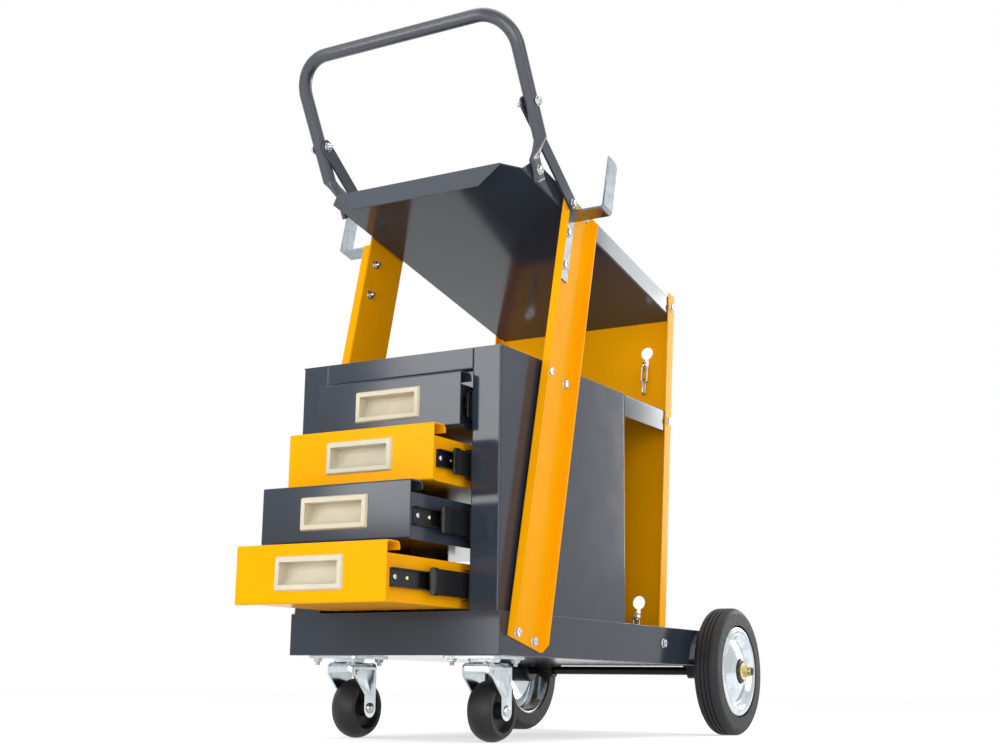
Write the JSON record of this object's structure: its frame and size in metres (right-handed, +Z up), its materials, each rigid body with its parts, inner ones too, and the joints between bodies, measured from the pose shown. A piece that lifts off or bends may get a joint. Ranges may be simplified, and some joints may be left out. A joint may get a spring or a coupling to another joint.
{
  "type": "welding cart",
  "caption": "Sheet-steel welding cart with part-open drawers, a tilted welder tray, leaning cylinder back panel, chains, push handle, swivel casters and rear wheels.",
  "frame": {"origin": "on the floor under the middle of the cart, with its drawers standing as pictured", "axes": "+Z up, -Y towards the drawer fronts and handle, +X to the right when facing along +Y"},
  "size_m": [0.428, 0.8644, 0.8828],
  "materials": {
    "grey_coat": "glossy powder coat",
    "yellow_coat": "glossy powder coat",
    "zinc": "bright zinc plate",
    "yellow_zinc": "yellow passivated zinc plate",
    "black_steel": "black electrophoretic coat",
    "cream_plastic": "fine satin moulding",
    "tyre_rubber": "matte",
    "hub_plastic": "satin moulding",
    "caster_rubber": "matte"
  },
  "bodies": {
    "cart": {"base_tray": "grey_coat", "cabinet": "grey_coat", "mid_shelf": "grey_coat", "back_panel": "yellow_coat", "top_tray": "grey_coat", "post_left": "yellow_coat", "post_right": "yellow_coat", "hook_left": "zinc", "hook_right": "zinc", "handle_tube": "grey_coat", "brace_left": "grey_coat", "brace_right": "grey_coat", "axle": "black_steel", "axle_brackets": "black_steel", "axle_nuts": "yellow_zinc", "slide_rails": "black_steel", "chain_upper": "zinc", "chain_lower": "zinc", "post_spacers": "zinc", "post_bolts": "zinc", "hook_bolts": "zinc", "handle_bolts": "zinc", "panel_bolts": "zinc", "caster_bolts": "zinc", "caster_left_plate": "zinc", "caster_right_plate": "zinc"},
    "drawer_1": {"drawer_1_front": "grey_coat", "drawer_1_box": "grey_coat", "drawer_1_pull": "cream_plastic", "drawer_1_slides": "black_steel"},
    "slide_mid_1": {"slide_mid_1": "black_steel"},
    "drawer_2": {"drawer_2_front": "yellow_coat", "drawer_2_box": "yellow_coat", "drawer_2_pull": "cream_plastic", "drawer_2_slides": "black_steel"},
    "slide_mid_2": {"slide_mid_2": "black_steel"},
    "drawer_3": {"drawer_3_front": "grey_coat", "drawer_3_box": "grey_coat", "drawer_3_pull": "cream_plastic", "drawer_3_slides": "black_steel"},
    "slide_mid_3": {"slide_mid_3": "black_steel"},
    "drawer_4": {"drawer_4_front": "yellow_coat", "drawer_4_box": "yellow_coat", "drawer_4_pull": "cream_plastic", "drawer_4_slides": "black_steel"},
    "slide_mid_4": {"slide_mid_4": "black_steel"},
    "caster_left_swivel": {"caster_left_fork": "zinc", "caster_left_axle": "zinc"},
    "caster_left_roll": {"caster_left_wheel": "caster_rubber"},
    "rear_left_roll": {"rear_left_tyre": "tyre_rubber", "rear_left_rim": "zinc", "rear_left_hub": "hub_plastic"},
    "caster_right_swivel": {"caster_right_fork": "zinc", "caster_right_axle": "zinc"},
    "caster_right_roll": {"caster_right_wheel": "caster_rubber"},
    "rear_right_roll": {"rear_right_tyre": "tyre_rubber", "rear_right_rim": "zinc", "rear_right_hub": "hub_plastic"}
  },
  "joints": [
    {"name": "drawer_1_slide", "type": "slide", "parent": "cart", "child": "drawer_1", "axis": [0, -1, 0], "range_m": [-0.021, 0.209]},
    {"name": "slide_mid_1_slide", "type": "slide", "parent": "cart", "child": "slide_mid_1", "axis": [0, -1, 0], "range_m": [-0.0105, 0.1045]},
    {"name": "drawer_2_slide", "type": "slide", "parent": "cart", "child": "drawer_2", "axis": [0, -1, 0], "range_m": [-0.075, 0.155]},
    {"name": "slide_mid_2_slide", "type": "slide", "parent": "cart", "child": "slide_mid_2", "axis": [0, -1, 0], "range_m": [-0.0375, 0.0775]},
    {"name": "drawer_3_slide", "type": "slide", "parent": "cart", "child": "drawer_3", "axis": [0, -1, 0], "range_m": [-0.119, 0.111]},
    {"name": "slide_mid_3_slide", "type": "slide", "parent": "cart", "child": "slide_mid_3", "axis": [0, -1, 0], "range_m": [-0.0595, 0.0555]},
    {"name": "drawer_4_slide", "type": "slide", "parent": "cart", "child": "drawer_4", "axis": [0, -1, 0], "range_m": [-0.16, 0.07]},
    {"name": "slide_mid_4_slide", "type": "slide", "parent": "cart", "child": "slide_mid_4", "axis": [0, -1, 0], "range_m": [-0.08, 0.035]},
    {"name": "caster_left_turn", "type": "hinge", "parent": "cart", "child": "caster_left_swivel", "pos_m": [-0.098, -0.21885, 0.0907], "axis": [0, 0, 1], "continuous": true},
    {"name": "caster_left_spin", "type": "hinge", "parent": "caster_left_swivel", "child": "caster_left_roll", "pos_m": [-0.098, -0.19885, 0.036], "axis": [1, 0, 0], "continuous": true},
    {"name": "rear_left_spin", "type": "hinge", "parent": "cart", "child": "rear_left_roll", "pos_m": [-0.176, 0.34115, 0.091], "axis": [1, 0, 0], "continuous": true},
    {"name": "caster_right_turn", "type": "hinge", "parent": "cart", "child": "caster_right_swivel", "pos_m": [0.098, -0.21885, 0.0907], "axis": [0, 0, 1], "continuous": true},
    {"name": "caster_right_spin", "type": "hinge", "parent": "caster_right_swivel", "child": "caster_right_roll", "pos_m": [0.098, -0.19885, 0.036], "axis": [1, 0, 0], "continuous": true},
    {"name": "rear_right_spin", "type": "hinge", "parent": "cart", "child": "rear_right_roll", "pos_m": [0.176, 0.34115, 0.091], "axis": [1, 0, 0], "continuous": true}
  ],
  "couplings": [
    {"joint": "slide_mid_1_slide", "follows": "drawer_1_slide", "ratio": 0.5},
    {"joint": "slide_mid_2_slide", "follows": "drawer_2_slide", "ratio": 0.5},
    {"joint": "slide_mid_3_slide", "follows": "drawer_3_slide", "ratio": 0.5},
    {"joint": "slide_mid_4_slide", "follows": "drawer_4_slide", "ratio": 0.5}
  ]
}
